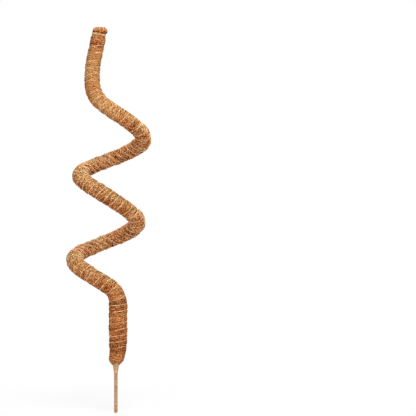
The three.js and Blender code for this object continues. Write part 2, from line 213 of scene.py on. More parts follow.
def pole_frame(length):
    """Centre, direction and two cross directions at lengths along the pole, straight below soil level."""
    inside = np.clip(length, 0, PATH[-1])
    along = unit(along_path(ALONG, inside))
    side = unit(along_path(SIDE, inside))
    centre = along_path(CENTRE, inside) + along * (length - inside)[..., None]
    return centre, along, side, np.cross(along, side)


def pole_point(length, angle, radius):
    """Points round the pole, with the directions straight out of it and along it."""
    centre, along, side, across = pole_frame(length)
    out = side * np.cos(angle)[..., None] + across * np.sin(angle)[..., None]
    return centre + out * np.asarray(radius)[..., None], out, along


def ring_grid(rows, columns):
    """Lengths and angles of rings of points, one ring a row."""
    return np.meshgrid(rows, TAU * np.arange(columns) / columns, indexing="ij")


def front_angle(length):
    """Angle of the side that faces the front."""
    _, _, side, across = pole_frame(np.array(length))
    return math.atan2(-across[1], -side[1])


# Bends, and the lengths of pole between them

def bend_places():
    sides = np.arange(COIL_HEADING - SIDE_HEADING, COIL_SWEEP - SIDE_HEADING, HALF_TURN)
    return [STEM_LENGTH, *(STEM_LENGTH + sides / COIL_SWEEP * COIL_LENGTH), COIL_END]


BENDS = bend_places()
LENGTHS = ["stem", *(f"turn_{i}" for i in range(1, len(BENDS))), "top"]
# Each dressed stretch runs over one bend, from the middle of one length to the middle of the next.
SEAMS = [0, *((low + high) / 2 for low, high in zip(BENDS, BENDS[1:])), PLUG_START]


def across_bend(piece):
    """Bakes the piece's placement into its mesh, which already follows the pole's bends."""
    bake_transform(piece)


def nodes_of(layers, index):
    """CAD nodes of the length above a bend, and of the stem for the first bend."""
    names = LENGTHS[:2] if index == 0 else [LENGTHS[index + 1]]
    return [f"{layer}_{name}" for layer in layers for name in names]


# Changes along the pole

# Every turn of the coil is coloured alike: golden at its left bend and in front, red where it passes
# behind, and its tone carries painted light and shade. A row is a place in millimetres and a value there.
# Places on the stem count from soil level, those of a turn from its left bend, and those on top from the
# coil's end.
TURN_LENGTH = BENDS[3] - BENDS[1]
TURN_STARTS = [BENDS[1] - TURN_LENGTH, BENDS[1], BENDS[3]]
COIL_FIRST = STEM_LENGTH + BOTTOM_BEND / 2
COIL_LAST = COIL_END - TOP_BEND / 2
STEM = STEM_LENGTH / MM
NECK = (NECK_START - COIL_END) / MM
EDGE = (TUFT_EDGE - COIL_END) / MM


def placed(rows, start):
    return [(start + place * MM, value) for place, value in rows]


def along_pole(stem, turn, top, scale=1):
    """A value along the pole, worked out between rows."""
    coil = [row for start in TURN_STARTS for row in placed(turn, start) if COIL_FIRST < row[0] < COIL_LAST]
    rows = [*placed(stem, 0), *coil, *placed(top, COIL_END)]

    def value_at(length):
        return scale * np.interp(length, *zip(*rows))

    return value_at


# Height of the coir's lumps: it is most uneven where the coil passes behind.
lump_height = along_pole(
    stem=[(0, 0.5)],
    turn=[(0, 0.5), (40, 1.0), (120, 1.0), (150, 0.6)],
    top=[(0, 0.5)],
    scale=MM,
)
# Thickness that the sleeve gains or loses: it is drawn in behind each left bend, up to a small step.
swelling = along_pole(
    stem=[(0, 0), (50, 0), (66, 0.3), (80, 0)],
    turn=[
        (20, 0), (42, -0.9), (72, -1.1), (78, -0.5), (84, -0.9), (100, 0), (160, 0), (176, -0.4),
        (192, -0.4), (225, 0.3), (270, 0.3),
    ],
    top=[(0, 0.2), (61, 0), (NECK - 16, 0), (NECK - 5, 0.5), (NECK, 0.8)],
    scale=MM,
)
# Height of the twine's middle over the coir: it shows most at the sides of the coil.
twine_seat = along_pole(
    stem=[(0, 0), (STEM - 21, 0.1), (STEM, 0.5)],
    turn=[(0, 0.7), (40, 0.5), (100, 0.5), (145, 0.85), (190, 0.5)],
    top=[(0, 0.25), (NECK - 22, 0), (NECK - 12, 0.6)],
    scale=MM,
)
# Lean of the fibre along the pole, in degrees
fibre_lean = along_pole(
    stem=[(0, -3), (STEM, -3)],
    turn=[(0, 15), (20, 50), (45, 45), (72, 38), (145, 22), (217, -7)],
    top=[(0, 0)],
)
# Tone of the coir, added to that of its locks: partly its own bands and patches, partly painted light and
# shade. The passes behind are painted lighter to make up for the light they lack, and the tuft's underside
# is painted dark as the shade under its rim.
tone_and_painted_light = along_pole(
    stem=[
        (0, 0.01), (26, -0.01), (38, -0.15), (50, 0.01), (76, 0.02), (98, -0.15), (112, 0.02), (126, 0.04),
    ],
    turn=[
        (0, -0.13), (8, -0.08), (16, 0.02), (24, 0.02), (36, 0.1), (48, 0.18), (74, 0.24), (82, -0.03),
        (88, 0.07), (110, 0.06), (128, 0), (138, 0.06), (160, -0.04), (169, -0.02), (180, 0.06),
        (188, -0.01), (220, -0.01), (238, 0.05), (260, 0),
    ],
    top=[
        (-44, 0.11), (-30, 0.15), (-18, 0.04), (0, 0.04), (NECK - 40, 0.07), (NECK - 15, 0.03), (NECK, 0),
        (EDGE, -0.22), (EDGE + 3, -0.05), (EDGE + 6, 0.04),
    ],
)
# Hue, from golden coir at 0 to red coir at 1
redness = along_pole(
    stem=[(0, 0.5), (26, 0.7), (STEM - 42, 0.75), (STEM, 0.5)],
    turn=[
        (0, 0.35), (17, 1.2), (65, 0.9), (77, 1.3), (125, 1.4), (140, 1.2), (152, 0.6), (164, 0.5),
        (176, -0.2), (190, 0.2), (233, 0.2), (270, 0.4),
    ],
    top=[
        (-36, -0.25), (-10, 0.35), (NECK - 50, 0.1), (NECK - 15, 0.35), (NECK, 0.6), (EDGE, 0.3),
        (EDGE + 4, 0.1),
    ],
)
# How much the tones differ from lock to lock: the passes behind are streaked, the stem and arm calm.
contrast = along_pole(
    stem=[(0, 0.65), (STEM, 0.7)],
    turn=[(0, 1.4), (72, 1.7), (145, 1.3), (190, 0.85), (260, 0.85)],
    top=[(0, 0.4), (NECK - 25, 0.35), (NECK - 10, 0.9)],
)
# Painted light and shade: change of tone from the middle to the side that faces up, lighter on top of the
# passes behind and a little darker on top of the stem, the front passes and the arm.
painted_top_light = along_pole(
    stem=[(0, -0.04), (STEM, -0.04)],
    turn=[(0, 0.06), (72, 0.18), (145, -0.03), (217, -0.07)],
    top=[(0, -0.06)],
)


# Surface of the coir

SPARE_ROWS = 8


def lattice(seed, cell, around):
    """Smooth random values over the unrolled pole, from -1 to 1, that close round it."""
    rows = int(POLE_LENGTH / cell) + SPARE_ROWS
    values = np.random.default_rng(seed).uniform(-1, 1, (rows, around))

    def sample(length, angle):
        row = np.clip(length / cell + 1, 0, rows - 2)
        column = angle / TAU * around
        i = np.floor(row).astype(int)
        j = np.floor(column).astype(int)
        u = smooth(row - i, 0, 1)
        v = smooth(column - j, 0, 1)
        low = values[i, j % around] * (1 - v) + values[i, (j + 1) % around] * v
        high = values[i + 1, j % around] * (1 - v) + values[i + 1, (j + 1) % around] * v
        return low * (1 - u) + high * u

    return sample


lumps = lattice(seed=11, cell=8 * MM, around=8)
ripples = lattice(seed=12, cell=2.4 * MM, around=16)
patches = lattice(seed=13, cell=13 * MM, around=5)
specks = lattice(seed=16, cell=0.8 * MM, around=84)
wander = lattice(seed=14, cell=7 * MM, around=3)
ridges = lattice(seed=17, cell=0.9 * MM, around=20)
drift = lattice(seed=18, cell=6 * MM, around=5)
sinking = lattice(seed=19, cell=7 * MM, around=5)
RIPPLE_HEIGHT = 0.25 * MM
FIBRE_COVER = 0.5 * MM
RIDGE_HEIGHT = 0.3 * MM
RIDGE_DRIFT = 2.5 * MM
BED_DROP = 0.2 * MM
GROOVE_DEPTH = 0.3 * MM
GROOVE_WIDTH = 1.4 * MM
PILLOW_HEIGHT = 0.12 * MM
WINDING_FADE = 5 * MM
TWINE_WANDER = 0.9 * MM
TWINE_SLANT = 6 * MM
SLANT_FADE = 22 * MM


class Winding:
    """One length's twine: turns of one hand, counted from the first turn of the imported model."""

    def __init__(self, index):
        first = index == 0
        last = index == len(BENDS)
        behind = index % 2 == 0 and not first and not last
        self.low = TWINE_START if first else BENDS[index - 1] + TWINE_GAP
        self.high = (NECK_START - NECK_SHOULDER if last else BENDS[index]) - TWINE_GAP
        self.zero = TWINE_START if first else BENDS[index - 1] + TWINE_FREE
        self.pitch = STEM_TWINE_PITCH if first else TWINE_PITCH
        self.hand = 1 if first or behind else -1
        self.slant = TWINE_SLANT if behind or last else 0
        self.slant_end = NECK_START + SLANT_FADE if last else self.high
        self.front = front_angle((self.low + self.high) / 2)

    def shift(self, length, angle):
        """Shift of the twine along the pole: its wander, and its slant behind the coil and on the arm."""
        slant = self.slant * window(length, self.low, self.slant_end, SLANT_FADE)
        return TWINE_WANDER * wander(length, angle) + slant * np.sin(angle - self.front)

    def angle(self, length):
        return self.hand * TAU * (length - self.zero) / self.pitch

    def turn(self, length, angle):
        """Turns of the winding up to a place, whole numbers on the twine itself."""
        shifted = length - self.shift(length, angle)
        return (shifted - self.zero) / self.pitch - self.hand * angle / TAU

    def inside(self, length):
        """1 where this winding lies, fading out at its ends."""
        return window(length, self.low, self.high, WINDING_FADE)

    def near(self, length, angle, width):
        """1 on the twine, falling off beside it."""
        turn = self.turn(length, angle)
        away = (turn - np.round(turn)) * self.pitch
        return self.inside(length) * np.exp(-((away / width) ** 2))

    def dents(self, length, angle):
        """Height of the coir that the twine draws in, and of the pillows between its turns."""
        pillow = self.inside(length) * (1 - np.cos(TAU * self.turn(length, angle))) / 2
        return PILLOW_HEIGHT * pillow - GROOVE_DEPTH * self.near(length, angle, GROOVE_WIDTH)


WINDINGS = [Winding(i) for i in range(len(LENGTHS))]

OUTLINE = [
    (FOOT_HEIGHT, SHOULDER_RADIUS),
    (FILL_HEIGHT, STEM_RADIUS),
    (STEM_LENGTH - BOTTOM_BEND / 2, STEM_RADIUS),
    (STEM_LENGTH + BOTTOM_BEND / 2, TURN_RADIUS),
    (COIL_END - TOP_BEND / 2, TURN_RADIUS),
    (NECK_START - NECK_SHOULDER, TOP_RADIUS),
    (NECK_START, NECK_RADIUS),
]


def coir_radius(length):
    radius = np.interp(length, *zip(*OUTLINE))
    rise = np.clip(length / FOOT_HEIGHT, 0, 1)
    foot = FOOT_RADIUS + (SHOULDER_RADIUS - FOOT_RADIUS) * rise * (3 - rise) / 2
    return np.where(length < FOOT_HEIGHT, foot, radius)


def sleeve_radius(length, angle):
    """Radius of the wound coir, with its lumps and with the dents of the twine."""
    calm = smooth(length, 0, FOOT_HEIGHT)
    bumps = lump_height(length) * lumps(length, angle) + RIPPLE_HEIGHT * ripples(length, angle)
    dents = sum(winding.dents(length, angle) for winding in WINDINGS)
    return coir_radius(length) - FIBRE_COVER + swelling(length) + calm * bumps + dents


# Tuft on top: its outline from its tied neck over its edge to its middle. Its top is cut level, not square
# to the leaning arm, its underside half as much, and its edge hangs over on the right.
TUFT_PROFILE_STEPS = 24
TUFT_SLOPE_STEP = 0.8 * MM
TUFT_RUFFLES = 7
TUFT_RUFFLE_TWIST = 9
TUFT_RUFFLE_DEPTH = 0.03
TUFT_LUMPS = 0.04
TUFT_LIP = 0.8 * MM
TUFT_LIP_HEIGHTS = (1 * MM, 3 * MM)
TUFT_LIP_RADII = (6 * MM, 10 * MM)
TUFT_COVER = 0.4 * MM
TUFT_RAISE = 0.3 * MM
TUFT_BRIM_RAISE = 0.2 * MM
TUFT_BRIM_SHARE = 0.6
TUFT_HOLLOW = 0.9 * MM
TUFT_MIDDLE_RADIUS = 0.6 * MM
UNDERSIDE_LEVEL = 0.5
_, _, TOP_SIDE, TOP_ACROSS = pole_frame(np.array(PLUG_START))
TUFT_RIGHT = math.atan2(TOP_ACROSS[0], TOP_SIDE[0])
TUFT_LEVEL = math.tan(math.radians(ARM_LEAN))


def tuft_profile():
    height = np.linspace(0, PLUG_HEIGHT, TUFT_PROFILE_STEPS)
    radius = PLUG_RADIUS * np.sqrt(1 - ((height - PLUG_BELLY) / PLUG_ROUND) ** 2)
    under = np.array([[0, BORE_RADIUS], [0, TUFT_THROAT]])
    dome = np.stack([height + TUFT_RAISE, radius - TUFT_COVER], -1)
    top = np.array([
        [PLUG_HEIGHT + TUFT_BRIM_RAISE, radius[-1] * TUFT_BRIM_SHARE],
        [PLUG_HEIGHT - TUFT_HOLLOW, TUFT_MIDDLE_RADIUS],
    ])
    points = np.concatenate([under, dome, top])
    return points, run_along(points)


TUFT_POINTS, TUFT_REACH = tuft_profile()
TUFT_END = PLUG_START + TUFT_REACH[-1]


def on_outline(reach):
    """Height and radius of the tuft's outline at a length along it."""
    return [np.interp(reach, TUFT_REACH, values) for values in TUFT_POINTS.T]


def coir_surface(length, angle):
    """Place along the pole, radius and surface direction at a length along the coir, tuft included."""
    on_tuft = length > PLUG_START
    reach = np.clip(length - PLUG_START, 0, TUFT_REACH[-1])
    height, radius = on_outline(reach)
    next_height, next_radius = on_outline(reach + TUFT_SLOPE_STEP)
    slope_up, slope_out = next_height - height, next_radius - radius
    slope = np.hypot(slope_out, slope_up) + TINY
    right = np.cos(angle - TUFT_RIGHT)
    ruffle = TUFT_RUFFLE_DEPTH * np.sin(TUFT_RUFFLES * angle + TUFT_RUFFLE_TWIST * reach / PLUG_HEIGHT)
    ruffle = ruffle + TUFT_LUMPS * lumps(length, angle)
    lip_low, lip_high = TUFT_LIP_HEIGHTS
    edge = smooth(radius, *TUFT_LIP_RADII) * (1 - smooth(height, lip_high, PLUG_HEIGHT))
    lip = TUFT_LIP * np.clip(right, 0, 1) * edge * smooth(height, 0, lip_low)
    levelled = UNDERSIDE_LEVEL + (1 - UNDERSIDE_LEVEL) * smooth(height, 0, PLUG_HEIGHT)
    level = TUFT_LEVEL * radius * right * levelled
    place = np.where(on_tuft, PLUG_START + height + level, length)
    at = np.where(on_tuft, radius * (1 + ruffle) + lip, sleeve_radius(length, angle))
    normal_out = np.where(on_tuft, slope_up / slope, 1)
    normal_along = np.where(on_tuft, -slope_out / slope, 0)
    return place, at, normal_out, normal_along


def coir_point(length, angle, lift):
    """Points lifted off the coir's surface, with its outward directions."""
    place, radius, normal_out, normal_along = coir_surface(length, angle)
    point, out, along = pole_point(place, angle, radius)
    normal = out * normal_out[..., None] + along * normal_along[..., None]
    return point + normal * lift[..., None], normal


# Meshes

def new_piece(name, points, faces, material, slot, **attributes):
    """A smooth mesh object with its material and named attributes on its points. Its slot is not used."""
    mesh = bpy.data.meshes.new(name)
    mesh.from_pydata(points.reshape(-1, 3).tolist(), [], faces)
    for key, values in attributes.items():
        vector = values.ndim == 2
        layer = mesh.attributes.new(key, "FLOAT_VECTOR" if vector else "FLOAT", "POINT")
        layer.data.foreach_set("vector" if vector else "value", values.astype(np.float32).ravel())
    mesh.shade_smooth()
    mesh.materials.append(material)
    piece = bpy.data.objects.new(name, mesh)
    bpy.context.collection.objects.link(piece)
    return piece


def ring_faces(rings, sides, closed):
    """Faces from each ring of points to the next, and from the last to the first if closed."""
    i = np.arange(rings if closed else rings - 1)[:, None]
    k = np.arange(sides)
    low, high = i * sides, (i + 1) % rings * sides
    after = (k + 1) % sides
    return np.stack([low + k, low + after, high + after, high + k], -1).reshape(-1, 4)


def loft_faces(rings, sides, closed):
    """Faces of a closed loop of rings, or of a row of rings with its ends filled."""
    faces = ring_faces(rings, sides, closed).tolist()
    if not closed:
        faces.append(list(range(sides))[::-1])
        faces.append(list(range((rings - 1) * sides, rings * sides)))
    return faces


def tubes(points, normals, radii, sides):
    """Closed tapering tubes along rows of points: vertices, faces and the point that each belongs to."""
    rows, count, _ = points.shape
    tangent = unit(np.gradient(points, axis=1))
    across = unit(np.cross(tangent, normals))
    normal = np.cross(across, tangent)
    turn = TAU * np.arange(sides) / sides
    middle = points[:, 1:-1, None]
    around = normal[:, 1:-1, None] * np.cos(turn)[:, None] + across[:, 1:-1, None] * np.sin(turn)[:, None]
    rings = middle + around * radii[:, 1:-1, None, None]
    inner = count - 2
    each = inner * sides + 2
    verts = np.concatenate([rings.reshape(rows, -1, 3), points[:, :1], points[:, -1:]], axis=1)
    start = (np.arange(rows) * each)[:, None, None]
    first = np.arange(sides)
    after = (first + 1) % sides
    last = (inner - 1) * sides
    tip = np.full(sides, inner * sides)
    quads = ring_faces(inner, sides, closed=False)
    starts = np.stack([tip, after, first], -1)
    ends = np.stack([tip + 1, last + first, last + after], -1)
    faces = []
    for part in (quads, starts, ends):
        faces += (start + part).reshape(-1, part.shape[-1]).tolist()
    own = np.concatenate([np.repeat(np.arange(1, count - 1), sides), [0, count - 1]])
    return verts.reshape(-1, 3), faces, (np.arange(rows)[:, None] * count + own).ravel()


# Materials

NOISE_MIDDLE = 0.5
BROAD_SHARE = 0.7
FINE_SHARE = 0.3


def new_material(name, roughness, gloss=0.25):
    material = bpy.data.materials.new(name)
    material.use_nodes = True
    shader = material.node_tree.nodes["Principled BSDF"]
    shader.inputs["Roughness"].default_value = roughness
    shader.inputs["Specular IOR Level"].default_value = gloss
    return material, material.node_tree, shader


def add_ramp(tree, source, stops):
    """Colours along a value: stops are places from 0 to 1 with linear colours."""
    ramp = tree.nodes.new("ShaderNodeValToRGB")
    elements = ramp.color_ramp.elements
    while len(elements) < len(stops):
        elements.new(0.5)
    for element, (place, colour) in zip(elements, stops):
        element.position = place
        element.color = (*colour, 1)
    tree.links.new(source, ramp.inputs["Fac"])
    return ramp.outputs["Color"]


def own_place(tree):
    return tree.nodes.new("ShaderNodeTexCoord").outputs["Object"]


def add_noise(tree, place, detail, scale=1, stretch=(1, 1, 1)):
    """Noise over places, stretched along their axes."""
    mapping = tree.nodes.new("ShaderNodeMapping")
    mapping.inputs["Scale"].default_value = stretch
    tree.links.new(place, mapping.inputs["Vector"])
    noise = tree.nodes.new("ShaderNodeTexNoise")
    noise.inputs["Scale"].default_value = scale
    noise.inputs["Detail"].default_value = detail
    tree.links.new(mapping.outputs["Vector"], noise.inputs["Vector"])
    return noise.outputs["Fac"]


def add_attribute(tree, name):
    attribute = tree.nodes.new("ShaderNodeAttribute")
    attribute.attribute_name = name
    return attribute


def add_math(tree, operation, first, second):
    node = tree.nodes.new("ShaderNodeMath")
    node.operation = operation
    for socket, value in zip(node.inputs, (first, second)):
        if isinstance(value, (int, float)):
            socket.default_value = value
        else:
            tree.links.new(value, socket)
    return node.outputs["Value"]


def add_change(tree, noise, amount):
    """Noise as a change of tone, up and down."""
    return add_math(tree, "MULTIPLY", add_math(tree, "SUBTRACT", noise, NOISE_MIDDLE), amount)


def add_blend(tree, broad, fine):
    """Two noises as one tone, more of the broad one."""
    broad = add_math(tree, "MULTIPLY", broad, BROAD_SHARE)
    fine = add_math(tree, "MULTIPLY", fine, FINE_SHARE)
    return add_math(tree, "ADD", broad, fine)


def add_bump(tree, shader, height, strength, distance):
    bump = tree.nodes.new("ShaderNodeBump")
    bump.inputs["Strength"].default_value = strength
    bump.inputs["Distance"].default_value = distance
    tree.links.new(height, bump.inputs["Height"])
    tree.links.new(bump.outputs["Normal"], shader.inputs["Normal"])


GOLDEN_COLOURS = [
    (0.0, (0.050, 0.013, 0.003)),
    (0.2, (0.185, 0.057, 0.012)),
    (0.45, (0.455, 0.189, 0.058)),
    (0.7, (0.660, 0.365, 0.140)),
    (0.88, (0.775, 0.550, 0.285)),
    (1.0, (0.840, 0.690, 0.430)),
]
RED_COLOURS = [
    (0.0, (0.052, 0.011, 0.002)),
    (0.2, (0.195, 0.045, 0.008)),
    (0.45, (0.480, 0.146, 0.040)),
    (0.7, (0.700, 0.256, 0.077)),
    (0.88, (0.790, 0.385, 0.150)),
    (1.0, (0.850, 0.530, 0.260)),
]

MIDDLE_TONE = 0.57
# The sides that face up are made more golden, and those that face down redder.
UPPER_GOLD = 0.4
LOWER_RED = 0.8
# Dark stains on the front: length along the pole and reach in millimetres, the side from -1 facing down
# to 1 facing up, and darkness
STAINS = [
    (26, 5, 0.0, 0.14),
    (58, 6, 0.0, 0.06),
    (128, 7, -0.5, 0.14),
    (143, 9, 0.0, 0.1),
    (286, 6, 0.0, 0.16),
    (318, 14, -0.2, 0.08),
    (399, 5, -0.3, 0.2),
    (432, 9, -0.6, 0.1),
    (577, 6, 0.1, 0.16),
    (603, 5, 0.0, 0.12),
    (688, 5, -0.3, 0.2),
    (783, 4, -0.5, 0.12),
    (848, 4, 0.0, 0.2),
]
STAIN_SIDE = 0.5
STAIN_RED = 2.0
PATCH_TONE = 0.03
SPECK_TONE = 0.16
MOTTLE_TONE = 0.3
FLECK_STRETCH = (400, 400, 650)
FLECK_TONE = 1.5


def coir_material(name, grain, relief):
    """Coir with the tone that its points carry, mottled, with fine grain along the fibre."""
    material, tree, shader = new_material(name, roughness=0.8, gloss=0.06)
    tone = add_attribute(tree, "tone").outputs["Fac"]
    place = add_attribute(tree, "straight").outputs["Vector"]
    mottle = add_noise(tree, place, detail=3, stretch=grain)
    tone = add_math(tree, "ADD", tone, add_change(tree, mottle, MOTTLE_TONE))
    fleck = add_noise(tree, place, detail=1, stretch=FLECK_STRETCH)
    change = add_change(tree, fleck, FLECK_TONE)
    change = add_math(tree, "MULTIPLY", change, add_attribute(tree, "contrast").outputs["Fac"])
    tone = add_math(tree, "ADD", tone, change)
    mix = tree.nodes.new("ShaderNodeMix")
    mix.data_type = "RGBA"
    tree.links.new(add_attribute(tree, "red").outputs["Fac"], mix.inputs["Factor"])
    tree.links.new(add_ramp(tree, tone, GOLDEN_COLOURS), mix.inputs["A"])
    tree.links.new(add_ramp(tree, tone, RED_COLOURS), mix.inputs["B"])
    tree.links.new(mix.outputs["Result"], shader.inputs["Base Color"])
    add_bump(tree, shader, mottle, strength=0.6, distance=relief)
    return material


def twine_material():
    """Cream two-ply twine, with fine lengthwise fibre and slightly soiled places."""
    material, tree, shader = new_material("twine", roughness=0.8)
    soil = add_noise(tree, own_place(tree), detail=3, scale=180)
    grain = add_noise(tree, own_place(tree), detail=2, scale=2600)
    tone = add_blend(tree, soil, grain)
    stops = [
        (0.3, (0.52, 0.31, 0.13)),
        (0.5, (0.75, 0.56, 0.32)),
        (0.7, (0.90, 0.77, 0.54)),
    ]
    tree.links.new(add_ramp(tree, tone, stops), shader.inputs["Base Color"])
    add_bump(tree, shader, grain, strength=0.5, distance=0.15 * MM)
    return material


def tape_material(name, stretch, stops, roughness):
    """Tan wrap of the collar and stake, with faint bands and mottling."""
    material, tree, shader = new_material(name, roughness)
    bands = add_noise(tree, own_place(tree), detail=3, stretch=stretch)
    grain = add_noise(tree, own_place(tree), detail=3, scale=900)
    tone = add_blend(tree, bands, grain)
    tree.links.new(add_ramp(tree, tone, stops), shader.inputs["Base Color"])
    add_bump(tree, shader, grain, strength=0.35, distance=0.2 * MM)
    return material


def wire_material():
    """Soft steel wire with dull places."""
    material, tree, shader = new_material("wire", roughness=0.4)
    shader.inputs["Metallic"].default_value = 1
    dull = add_noise(tree, own_place(tree), detail=4, scale=260)
    stops = [(0.3, (0.32, 0.31, 0.30)), (0.7, (0.56, 0.56, 0.55))]
    tree.links.new(add_ramp(tree, dull, stops), shader.inputs["Base Color"])
    add_bump(tree, shader, dull, strength=0.2, distance=0.1 * MM)
    return material


STAKE_STOPS = [
    (0.3, (0.27, 0.125, 0.055)),
    (0.5, (0.39, 0.200, 0.094)),
    (0.7, (0.49, 0.275, 0.142)),
]
COLLAR_STOPS = [
    (0.3, (0.33, 0.165, 0.075)),
    (0.5, (0.50, 0.295, 0.155)),
    (0.7, (0.60, 0.390, 0.230)),
]

coir_bed = coir_material("coir_bed", grain=(250, 250, 2600), relief=0.3 * MM)
coir_fibre = coir_material("coir_fibre", grain=(420, 420, 420), relief=0.1 * MM)
twine = twine_material()
stake_wrap = tape_material("stake_wrap", (120, 120, 300), STAKE_STOPS, roughness=0.55)
collar_wrap = tape_material("collar_wrap", (200, 200, 700), COLLAR_STOPS, roughness=0.75)


# Coir bed: one closed sleeve over each bend, with a bore for the wire and the stake

BED_STEP = 0.5 * MM
BED_COLUMNS = 120
FOOT_ROWS = 30
BORE_EVERY = 20
# Painted shade: the bed is darker than the loose fibre over it, as the shade in the gaps between locks.
BED_TONE = 0.3
# Painted shade: the bed's ridges are lighter on their crests and darker in their troughs.
RIDGE_TONE = 0.2


def coir_tones(length, angle):
    """Tone that the coir has at a place before that of the single lock, with its redness and contrast. The
    tone carries painted light and shade along the pole and on the side that faces up.
    """
    spread = contrast(length)
    tone = tone_and_painted_light(length) + PATCH_TONE * patches(length, angle) + SPECK_TONE * spread * specks(length, angle)
    _, out, _ = pole_point(length, angle, 0 * length)
    up = out[..., 2]
    stain = 0
    for place, reach, side, darkness in STAINS:
        away = ((length / MM - place) / reach) ** 2 + ((up - side) / STAIN_SIDE) ** 2
        stain = stain + darkness * np.exp(-away) * (out[..., 1] < 0)
    red = redness(length) - UPPER_GOLD * up + LOWER_RED * np.clip(-up, 0, 1)
    # Painted light and shade: the side that faces up is made lighter or darker along the pole.
    tone = tone - stain + painted_top_light(length) * up
    return np.stack([tone, np.clip(red + STAIN_RED * stain, 0, 1), spread], -1)


def straightened(length, angle, radius):
    """Places on the pole as if it were straight, so that patterns follow its bends."""
    return np.stack([radius * np.cos(angle), radius * np.sin(angle), length], -1)


def bed_rows(low, high):
    rows = np.linspace(low, high, round((high - low) / BED_STEP))
    if low > 0:
        return rows
    foot = FOOT_HEIGHT * np.linspace(0, 1, FOOT_ROWS) ** 2
    return np.concatenate([foot, rows[rows > FOOT_HEIGHT + BED_STEP / 2]])


def coir_piece(name, points, faces, material, values, straight):
    """A piece of coir: its values are the tone, redness and contrast of each point."""
    tone, red, spread = values.reshape(-1, 3).T
    attributes = {"tone": tone, "red": red, "contrast": spread, "straight": straight.reshape(-1, 3)}
    return new_piece(name, points, faces, material, "coir_fibre", **attributes)


def make_bed(index):
    rows = bed_rows(SEAMS[index], SEAMS[index + 1])
    bore_rows = np.append(rows[:-1:BORE_EVERY], rows[-1])[::-1]
    length, angle = ring_grid(np.concatenate([rows, bore_rows]), BED_COLUMNS)
    outside = (np.arange(len(length)) < len(rows))[:, None]
    ridge = ridges(length + RIDGE_DRIFT * drift(length, angle), angle)
    ridge = ridge * smooth(length, 0, FOOT_HEIGHT) * outside
    sleeve = sleeve_radius(length, angle) - BED_DROP + RIDGE_HEIGHT * ridge
    radius = np.where(outside, sleeve, BORE_RADIUS)
    points, _, _ = pole_point(length, angle, radius)
    values = coir_tones(length, angle)
    # Painted shade: the bed darker than the fibre over it, and its ridges lighter on top.
    values[..., 0] += BED_TONE + RIDGE_TONE * ridge
    faces = loft_faces(len(length), BED_COLUMNS, closed=True)
    straight = straightened(length, angle, radius)
    piece = coir_piece(f"coir_bed_{index + 1}", points, faces, coir_bed, values, straight)
    across_bend(piece)
    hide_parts(*nodes_of(["coir", "fibre_core"], index))


# Loose fibre: locks of a few fibres that lie round the pole, and single pale hairs over them

LOCKS_PER_METRE = 12500
HAIRS_PER_METRE = 500
FIBRE_SEED = 100
FIBRE_SIDES = 3
FIBRE_MARGIN = 0.3 * MM
# Place of a fibre in its lock: the space between fibres, its spread, how far the ends draw together, and
# the least radius that a fibre bends round
FIBRE_SPACING = 0.36 * MM
PLACE_SPREAD = 0.08 * MM
GATHERED_ENDS = 0.5
LEAST_RADIUS = 4 * MM
# A fibre's span as a share of its lock's, other sizes as shares of their own, slip and bow as shares of its
# span, the spread of its heading in degrees, and how far its ends taper
SPAN_SHARE = (0.8, 1.1)
SIZE_SHARE = (0.7, 1.3)
FIBRE_SLIP = (-0.15, 0.15)
LOCK_BOW = 0.1
FIBRE_BOW = 0.03
HEADING_SPREAD = 4
END_TAPER = 0.55
# Heights: ends dip into the coir, the outer fibres of a lock lie lower, and loose ends stand off
CROWN_SPREAD = 0.1 * MM
CROWN_FALL = 0.06 * MM
END_DIP = 0.45 * MM
STRAY_RISE = (0.6 * MM, 1.8 * MM)
# Where twine lies over the fibre: how far it is pressed, how wide, and the share of locks under the twine
TWINE_PRESS = 0.8
TWINE_PRESS_WIDTH = 1.0 * MM
TIED_SHARE = 0.9
# Tones of locks and hairs, and the shares of all locks up to which they are dark or middling
DARK_TONES = (0.2, 0.4)
MIDDLING_TONES = (0.5, 0.66)
PALE_TONES = (0.68, 0.88)
HAIR_TONES = (0.7, 1.0)
DARK_UP_TO = 0.2
MIDDLING_UP_TO = 0.74
TONE_SPREAD = 0.05
# One over the plastic number, and one over its square
EVEN_STEPS = np.array([0.7548776662, 0.5698402910])


def spread_evenly(rng, count):
    """Pairs of shares from 0 to 1 that fill a square evenly, without rows."""
    return (np.arange(count)[:, None] * EVEN_STEPS + rng.random(2)) % 1


class Fibre(NamedTuple):
    """How fibres lie. Sizes are in metres, headings in degrees, and pairs are the least and the most."""
    in_lock: int
    points: int
    radius: float
    span: tuple
    crown: tuple
    curl: tuple
    rise: float
    heading: float
    spread: float
    loose: float


LOCK = Fibre(
    in_lock=3, points=7, radius=0.22 * MM, span=(5 * MM, 12 * MM), crown=(0.1 * MM, 0.7 * MM),
    curl=(4 * MM, 9 * MM), rise=0.2 * MM, heading=0, spread=15, loose=0.05,
)
HAIR = Fibre(
    in_lock=1, points=12, radius=0.16 * MM, span=(10 * MM, 26 * MM), crown=(0.5 * MM, 0.9 * MM),
    curl=(9 * MM, 16 * MM), rise=0.3 * MM, heading=0, spread=32, loose=0.1,
)
TUFT_LOCK = Fibre(
    in_lock=4, points=8, radius=0.25 * MM, span=(4 * MM, 11 * MM), crown=(0.1 * MM, 0.7 * MM),
    curl=(5 * MM, 9 * MM), rise=0.2 * MM, heading=90, spread=24, loose=0.12,
)


def lock_tones(rng, count):
    """Tones of locks: dark ones, which lie low in the coir as painted shade in its depth, many middling
    ones, and pale ones on top.
    """
    kind = rng.random(count)
    dark = rng.uniform(*DARK_TONES, count)
    middling = rng.uniform(*MIDDLING_TONES, count)
    pale = rng.uniform(*PALE_TONES, count)
    return np.where(kind < DARK_UP_TO, dark, np.where(kind < MIDDLING_UP_TO, middling, pale))


